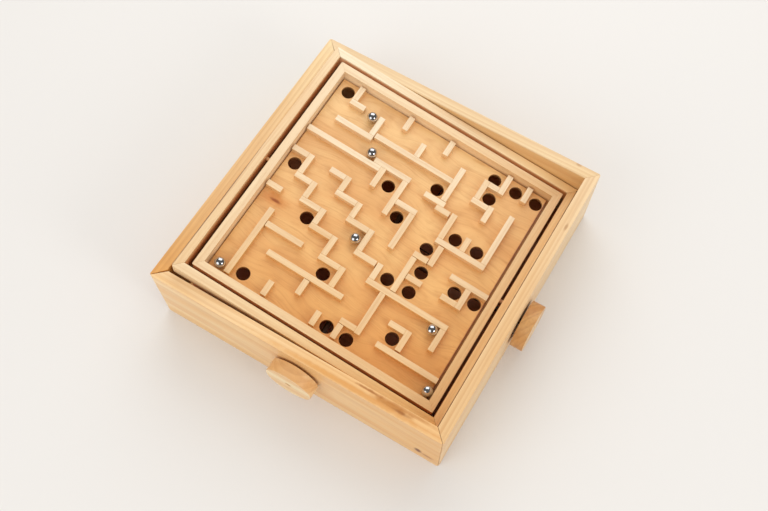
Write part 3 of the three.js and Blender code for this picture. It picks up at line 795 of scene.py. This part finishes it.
def drilled_board():
    """The maze board with softened hole rims, and the vertices of its cut edges."""
    bm = bmesh.new()
    soft, count = 0.25, 48
    top, foot = BOARD_TOP, BOARD_TOP - BOARD_THICKNESS
    levels = [(soft, top), (soft * 0.3, top - soft * 0.3), (0, top - soft)]
    levels += [(0, foot + soft), (soft, foot)]
    caps = {top: [], foot: []}
    cut = []
    for cx, cy in HOLES:
        rows = []
        for out, z in levels:
            r = HOLE_RADIUS + out
            rows.append([bm.verts.new((cx + r * x, cy + r * y, z)) for x, y in circle(count)])
        for low, high in zip(rows, rows[1:]):
            for i in range(count):
                f = bm.faces.new((low[i], low[(i + 1) % count], high[(i + 1) % count], high[i]))
                f.smooth = True
        cut += rows[2] + rows[3]
        caps[top] += [bm.edges.get((rows[0][i], rows[0][(i + 1) % count])) for i in range(count)]
        caps[foot] += [bm.edges.get((rows[-1][i], rows[-1][(i + 1) % count])) for i in range(count)]
    # The groove round the sheet
    signs = [(-1, -1), (1, -1), (1, 1), (-1, 1)]
    rims = [
        [bm.verts.new((FRAME_SHIFT + a * half, b * half, z)) for a, b in signs]
        for half, z in (
            (FRAME_INNER - GROOVE, top), (FRAME_INNER - GROOVE, top - GROOVE_DEPTH),
            (FRAME_INNER + 0.2, top - GROOVE_DEPTH), (FRAME_INNER + 0.2, foot),
        )
    ]
    cut += rims[1] + rims[2]
    for high, low in zip(rims, rims[1:]):
        for i in range(4):
            j = (i + 1) % 4
            bm.faces.new((high[i], low[i], low[j], high[j]))
    for z, rim in ((top, rims[0]), (foot, rims[-1])):
        edges = caps[z] + [bm.edges.get((rim[i], rim[(i + 1) % 4])) for i in range(4)]
        bmesh.ops.triangle_fill(bm, use_beauty=True, use_dissolve=False, edges=edges)
    bmesh.ops.recalc_face_normals(bm, faces=bm.faces)
    return bm, cut


bm, cut = drilled_board()
piece = Piece()
# Painted light: paler towards the back and deeper to the right
piece.add(bm, across=(0, 1, 0), tone=slope(-0.2, -0.7, 1.7), painted_shade=cut)
piece.make("maze_sheet", "frame", BOARD, materials["board"], ["maze_board"], False)


# ---------------------------------------------------------------- maze strips

HALF = STRIP_WIDTH / 2
LEFT, RIGHT, FRONT, BACK = -114.3, 115.4, -113.9, 115
JOINT = 0.04  # how far a strip's end stands back from its neighbour


def across(y, x0, x1, open0=JOINT, open1=JOINT):
    """A strip along X. open0 and open1 are the gaps left at its ends."""
    return "x", (x0 + open0, x1 - open1, y - HALF, y + HALF)


def along(x, y0, y1, open0=JOINT, open1=JOINT):
    """A strip along Y."""
    return "y", (x - HALF, x + HALF, y0 + open0, y1 - open1)


# The strips by group. A group is one node of the frame.
WALLS = {
    "back_left_hook": [along(-92.7, 98.8, BACK), across(95.9, -95.6, -79.3)],
    "back_stub_a": [along(-36.5, 98.6, BACK)],
    "back_stub_b": [along(9.6, 97.8, BACK)],
    "back_right_steps": [
        along(74.2, 92.5, BACK),
        across(95.4, 60.4, 71.3),
        along(57.5, 75.7, 98.3),
        across(72.8, 53.8, 71.3),
        along(74.2, 58.1, 76.5),
    ],
    "back_stub_c": [along(96.5, 97.4, BACK)],
    "upper_run": [
        across(73.1, -97.6, -57.1),
        along(-60, 76, 97.8),
        across(77.9, -57.1, 29.2, 0.7),
        along(-12.5, 80.8, 96.6),
        along(32.1, 55.5, 95.7, 0.35),
        across(52.6, 13.5, 35.9),
        across(46.8, 29.1, 44.8, open1=0.5),
    ],
    "right_cell": [
        along(48.8, 21.6, 50.2),
        across(18.7, 46, 98.6),
        along(72, 21.6, 36.6),
        along(95.7, 21.6, 78.8),
    ],
    "centre_column": [
        along(54.3, -7.2, 15.3, open1=0.3),
        across(-4.7, 35.5, 51.4, open1=0.6),
        along(38.3, -47.1, -7.6, open1=0.4),
        across(-27.5, 41.2, 57.6, 0.3),
    ],
    "lower_run": [
        across(-50.5, 12.9, 98.6),
        along(16.1, -47.6, -30.4),
        along(95.7, -76.6, -53.4),
        along(32.1, -99, -53.4),
        across(-95.5, 12.9, 29.2),
        along(15.8, FRONT, -98.4, open1=0.4),
    ],
    "middle_zigzag": [
        across(24, -73, -56.6),
        along(-53.7, 10.2, 27),
        across(7.3, -56.6, -34.1),
        along(-31.2, -6.6, 10.2),
        across(-9.5, -34.1, -10.8),
        along(-7.9, -30.2, -6.6),
        across(-33.1, -10.8, 12.6, open1=0.4),
    ],
    "upper_left_run": [
        across(49.9, LEFT, -34.6),
        along(-31.7, 30.8, 52.8),
        across(55.7, -43.7, -4),
        along(-7.5, 13.1, 52.8),
        across(30.6, -4.6, 17.7),
        along(14.8, -12.6, 27.7),
    ],
    "left_zigzag": [
        across(24, LEFT, -97.5),
        along(-94.6, 4.7, 26.9),
        across(1.8, -97.5, -80.2),
        along(-77.3, -13.6, 4.7),
        across(-16.5, -80.2, -58.8),
        along(-55.9, -30.9, -13.6),
        across(-33.8, -58.8, -35.5),
        along(-32.6, -52, -30.9),
        across(-54.9, -35.5, -13.6),
        along(-10.7, -74.1, -52),
        across(-77, -76.3, 3.9),
        along(-31.8, -96.5, -79.9, open1=0.4),
    ],
    "left_stub": [across(-19.6, LEFT, -98.3)],
    "left_gate": [along(-95.6, FRONT, -39.4), across(-54.6, -92.7, -53, 0.5)],
    "front_stub_a": [along(-57.2, FRONT, -98.2)],
    "front_stub_b": [along(-6.5, FRONT, -99)],
    "right_hook": [
        across(-5, 75.5, RIGHT),
        along(96.5, -29.5, -7.9),
        across(-26.6, 77.5, 93.6),
    ],
    "lower_hook": [across(-73.8, 51, 67.9), along(70.8, -92.6, -70.9)],
    "right_rail": [across(-96.8, 51.2, RIGHT)],
}
for name, strips in WALLS.items():
    piece = Piece()
    for axis, (x0, x1, y0, y1) in strips:
        top = BOARD_TOP + STRIP_HEIGHT
        bm, worn = block(x0, x1, y0, y1, BOARD_TOP, top, STRIP_ROUNDING)
        # A random tone for each strip, with painted light paler towards the back and painted shade
        # on its sides
        tone = slope(rng.uniform(-1.1, -0.1), -0.4, 1.5, below=-2.2, height=top - STRIP_LIP)
        if axis == "x":
            piece.add(bm, along=(1, 0, 0), across=(0, 1, 0), tone=tone, wear=worn)
        else:
            piece.add(bm, along=(0, 1, 0), across=(-1, 0, 0), tone=tone, wear=worn)
    piece.make(f"strips_{name}", "frame", BOARD, materials["strip"], [f"wall_{name}"])


# ---------------------------------------------------------------- balls and pins

BALLS = [
    (-68.8, 92.4), (-49.4, 59.9), (-16.8, -22.5), (-105.1, -109.1), (87.2, -59), (112, -109.3),
]
for number, (x, y) in enumerate(BALLS, 1):
    bm = bmesh.new()
    bmesh.ops.create_icosphere(bm, subdivisions=4, radius=BALL_RADIUS)
    smooth_all(bm)
    piece = Piece()
    piece.add(bm)
    place = BOARD @ Matrix.Translation(Vector((x, y, BOARD_TOP + GAP + BALL_RADIUS)) * MM)
    body = f"ball_{number}"
    piece.make(f"steel_ball_{number}", body, place, materials["ball"], [body], False)

ABOUT_Y = Matrix.Rotation(math.radians(-90), 4, "X")
ABOUT_X = Matrix.Rotation(math.radians(90), 4, "Y")


def pin(name, start, end, axis, replaced):
    """A dowel on the ring, along one of its axes from start to end."""
    turn = ABOUT_Y if axis == "Y" else ABOUT_X
    offset = Vector((0, start, 0)) if axis == "Y" else Vector((start, 0, 0))
    piece = Piece()
    piece.add(rod(PIN_RADIUS, end - start), turn=Matrix.Translation(offset) @ turn)
    piece.make(name, "ring", RING, materials["dowel"], [replaced])


in_ring, in_wall = RING_OUTER - PIN_IN_RING, BOX_INNER + RING_PIN_IN_WALL
through_ring, in_frame = RING_INNER + PIN_IN_RING, FRAME_OUTER - BOARD_PIN_IN_FRAME
pin("ring_pin_a", -(in_wall + PIVOT.y), -in_ring, "Y", "ring_pin_front")
pin("ring_pin_b", in_ring, in_wall - PIVOT.y, "Y", "ring_pin_back")
pin("board_pin_a", -through_ring, FRAME_SHIFT - in_frame, "X", "board_pin_left")
pin("board_pin_b", FRAME_SHIFT + in_frame, through_ring, "X", "board_pin_right")


# ---------------------------------------------------------------- knobs and axles

chamfer = 0.4
arc_centre = KNOB_RADIUS - KNOB_ROUNDING
knob_profile = [(AXLE_BORE, chamfer), (AXLE_BORE + chamfer, 0)]
knob_profile += arc_points(arc_centre, KNOB_ROUNDING, KNOB_ROUNDING, -90, 0)
knob_profile += arc_points(arc_centre, KNOB_THICKNESS - KNOB_ROUNDING, KNOB_ROUNDING, 0, 90)
knob_profile += [(AXLE_BORE + chamfer, KNOB_THICKNESS), (AXLE_BORE, KNOB_THICKNESS - chamfer)]
knob_profile += [(AXLE_BORE, chamfer)]
axle_start = BOX_HALF + KNOB_GAP + KNOB_THICKNESS - AXLE_RECESS
axle_end = BOX_INNER + AXLE_BLIND - 1

front_place = Matrix.Translation((FRONT_AXLE_X, -BOX_HALF - KNOB_GAP, FRONT_AXLE_Z))
right_place = Matrix.Translation((BOX_HALF + KNOB_GAP, RIGHT_AXLE_Y, RIGHT_AXLE_Z))
# Painted light on each knob's face and painted shade on its rim, deeper on the right knob
for name, turn, look, face_tone, side_tone in (
    ("front", front_place @ Matrix.Rotation(math.radians(90), 4, "X"), "knob", 2.2, -0.6),
    ("right", right_place @ ABOUT_X, "knob_right", 1, -3),
):
    piece = Piece()
    bm = lathe(knob_profile, 96)
    inner = KNOB_RADIUS - KNOB_ROUNDING * 0.6
    worn = [v for v in bm.verts if inner < v.co.xy.length < KNOB_RADIUS - 0.01]
    back = turn.inverted()

    def knob_tone(p):
        return side_tone if (back @ p).xy.length > KNOB_RADIUS - 0.2 else face_tone

    piece.add(bm, tone=knob_tone, wear=worn, turn=turn)
    piece.make(f"knob_{name}", f"{name}_knob", ROOM, materials[look], [f"{name}_knob"])

for name, place in (
    ("front", Matrix.Translation((FRONT_AXLE_X, -axle_start, FRONT_AXLE_Z)) @ ABOUT_Y),
    ("right", Matrix.Translation((-axle_end, RIGHT_AXLE_Y, RIGHT_AXLE_Z)) @ ABOUT_X),
):
    piece = Piece()
    length = axle_start + axle_end
    bm = rod(AXLE_RADIUS, length, 0.4)
    level_cut(bm, KNOB_THICKNESS)
    level_cut(bm, length - KNOB_THICKNESS)
    # Painted shade on all but the ends, for the part seen inside the box; only the ends stay pale
    inside = [v for v in bm.verts if 1 < v.co.z < length - 1]
    piece.add(bm, painted_shade=inside, turn=place)
    look = materials["dowel"]
    piece.make(f"axle_{name}", f"{name}_knob", ROOM, look, [f"{name}_axle"])


# ---------------------------------------------------------------- strings and eyes

eye_offset = EYE_WIRE + GAP + STRING_RADIUS
ring_string_x = (RING_OUTER + RING_INNER) / 2
frame_string_y = (FRAME_OUTER + FRAME_INNER) / 2
shift = STRING_TURNS * STRING_PITCH / 2
drop_start = EYE_HEIGHT + EYE_RADIUS + 3
EYES = {
    "left": (PIVOT.x - ring_string_x + eye_offset, RING_STRING_Y - shift, 90),
    "right": (PIVOT.x + ring_string_x - eye_offset, RING_STRING_Y + shift, 90),
    "front": (FRAME_STRING_X - shift, PIVOT.y - frame_string_y + eye_offset, 0),
    "back": (FRAME_STRING_X + shift, PIVOT.y + frame_string_y - eye_offset, 0),
}
for name, (x, y, turned) in EYES.items():
    # An open loop of wire that runs down into its shank
    angles = [math.radians(-140 + 320 * i / 32) for i in range(33)]
    points = [(EYE_RADIUS * math.sin(a), 0, EYE_RADIUS * math.cos(a)) for a in angles]
    points += [(0, 0, -EYE_RADIUS - 1.5 - i) for i in range(9)]
    turn = Matrix.Translation((x, y, EYE_HEIGHT)) @ Matrix.Rotation(math.radians(turned), 4, "Z")
    piece = Piece()
    piece.add(sweep(points, EYE_WIRE), turn=turn)
    look = materials["brass"]
    piece.make(f"screw_eye_{name}", "box", ROOM, look, [f"eye_{name}"], False)


def string_points(axle_u, axle_height, eye_minus, eye_plus, middle_v):
    """The points (u, v, w) of one string, from one eye round the axle to the other.

    u runs along the pull, v along the axle and w is height.
    """
    reach = AXLE_RADIUS + GAP + STRING_RADIUS
    under = EYE_HEIGHT + EYE_RADIUS - eye_offset
    slope_minus = math.atan2(axle_height - reach - under, axle_u - eye_minus)
    slope_plus = math.atan2(axle_height - reach - under, eye_plus - axle_u)
    start_v, end_v = middle_v - shift, middle_v + shift
    points = [
        (eye_minus - eye_offset, start_v, drop_start - 1),
        (eye_minus - eye_offset, start_v, under + 1.5),
        (eye_minus - eye_offset + 0.6, start_v, under + 0.3),
        (eye_minus + 0.6, start_v, under + 0.1),
    ]
    start = -math.pi / 2 + slope_minus
    end = -math.pi / 2 - slope_plus + 2 * math.pi * STRING_TURNS
    count = STRING_TURNS * 24
    for i in range(count + 1):
        angle = start + (end - start) * i / count
        v = start_v + (end_v - start_v) * i / count
        points.append((axle_u + reach * math.cos(angle), v, axle_height + reach * math.sin(angle)))
    points += [
        (eye_plus - 0.6, end_v, under + 0.1),
        (eye_plus + eye_offset - 0.6, end_v, under + 0.3),
        (eye_plus + eye_offset, end_v, under + 1.5),
        (eye_plus + eye_offset, end_v, drop_start - 1),
    ]
    return points


ring_string = string_points(*FRONT_AXLE, EYES["left"][0], EYES["right"][0], RING_STRING_Y)
frame_string = string_points(*RIGHT_AXLE, EYES["front"][1], EYES["back"][1], FRAME_STRING_X)
for name, points in (
    ("ring_string", ring_string),
    ("frame_string", [(v, u, w) for u, v, w in frame_string]),
):
    piece = Piece()
    piece.add(sweep(points, STRING_RADIUS))
    piece.make(f"cord_{name}", "box", ROOM, materials["thread"], [name], False)

# The last length of each string climbs to the rail that it pulls.
DROPS = {
    "left": (-ring_string_x, RING_STRING_Y - PIVOT.y - shift, RING_BOTTOM, RING),
    "right": (ring_string_x, RING_STRING_Y - PIVOT.y + shift, RING_BOTTOM, RING),
    "front": (FRAME_STRING_X - PIVOT.x - shift, -frame_string_y, FRAME_BOTTOM, BOARD),
    "back": (FRAME_STRING_X - PIVOT.x + shift, frame_string_y, FRAME_BOTTOM, BOARD),
}


def drop(name, x, y, foot, head, bodies, replaced):
    """A length of string from foot up to head, left unattached."""
    points = [(x, y, foot + (head - foot) * i / 12) for i in range(13)]
    piece = Piece()
    piece.add(sweep(points, STRING_RADIUS))
    ends = [Vector((x, y, h)) * MM for h in (foot, head)]
    piece.make(name, (*bodies, *ends), ROOM, materials["thread"], replaced, False)


for side, (x, y, bottom, place) in DROPS.items():
    head = (place @ (Vector((x, y, bottom)) * MM)).z / MM - 2 * GAP
    foot = drop_start - 1
    x, y = x + PIVOT.x, y + PIVOT.y
    if place is RING:
        drop(f"cord_end_{side}", x, y, foot, head, ("box", "ring"), [f"string_end_{side}"])
    else:
        # The string to the inner frame is made in two lengths, split at this height
        middle = head - 16
        drop(f"cord_end_{side}", x, y, foot, middle, ("box", "ring"), [f"string_end_{side}"])
        drop(f"cord_tip_{side}", x, y, middle, head, ("ring", "frame"), [])


# ---------------------------------------------------------------- room, light and camera

bpy.ops.mesh.primitive_plane_add(size=8, location=(0, 0, 0))
floor = bpy.context.object
floor.name = "floor"
s = Shader("paper")
s.set(Base_Color=srgb("e6e4e1"), Roughness=0.85)
floor.data.materials.append(s.material)


def softbox(name, direction, distance, width, height, power, shape):
    """An area light that faces the middle of the box."""
    lamp = bpy.data.lights.new(name, "AREA")
    lamp.shape = shape
    lamp.size, lamp.size_y = width, height
    lamp.energy = power
    holder = bpy.data.objects.new(name, lamp)
    bpy.context.scene.collection.objects.link(holder)
    aim = Vector((0, 0, 0.05))
    holder.location = aim + Vector(direction).normalized() * distance
    holder.rotation_mode = "QUATERNION"
    holder.rotation_quaternion = (aim - holder.location).to_track_quat("-Z", "Y")
    holder.visible_camera = False


softbox("back_softbox", (-0.28, 0.67, 0.67), 1.45, 1.54, 1.36, 9.4, "RECTANGLE")
softbox("left_softbox", (-0.30, -0.83, 0.56), 1.6, 1.3, 1.3, 5.6, "ELLIPSE")
softbox("right_softbox", (0.88, -0.15, 0.48), 1.7, 0.65, 0.65, 5.3, "ELLIPSE")

world = bpy.data.worlds.new("room")
world.use_nodes = True
tree = world.node_tree
background = tree.nodes["Background"]
background.inputs["Color"].default_value = (1.0, 0.975, 0.945, 1)
# The room is bright for the wood and dim in the balls' reflections
rays = tree.nodes.new("ShaderNodeLightPath")
level = tree.nodes.new("ShaderNodeMapRange")
level.inputs["To Min"].default_value = 0.74
level.inputs["To Max"].default_value = 0.12
tree.links.new(rays.outputs["Is Glossy Ray"], level.inputs["Value"])
tree.links.new(level.outputs["Result"], background.inputs["Strength"])
bpy.context.scene.world = world
bpy.context.scene.view_settings.view_transform = "Standard"

# The camera as fitted to the straight edges in the photo
azimuth, elevation, roll = math.radians(27.355), math.radians(66.667), math.radians(3.3756)
camera = bpy.data.cameras.new("camera")
camera.sensor_width = 36
camera.lens = 44.836
camera.shift_x, camera.shift_y = -0.034836, 0.033757
camera.clip_start, camera.clip_end = 0.05, 20
viewer = bpy.data.objects.new("camera", camera)
bpy.context.scene.collection.objects.link(viewer)
viewer.location = (0.20680, -0.33539, 0.86256)
level_part = math.cos(elevation)
ahead = Vector((
    -math.sin(azimuth) * level_part, math.cos(azimuth) * level_part, -math.sin(elevation),
))
viewer.rotation_mode = "QUATERNION"
viewer.rotation_quaternion = ahead.to_track_quat("-Z", "Y") @ Quaternion((0, 0, 1), roll)
bpy.context.scene.camera = viewer
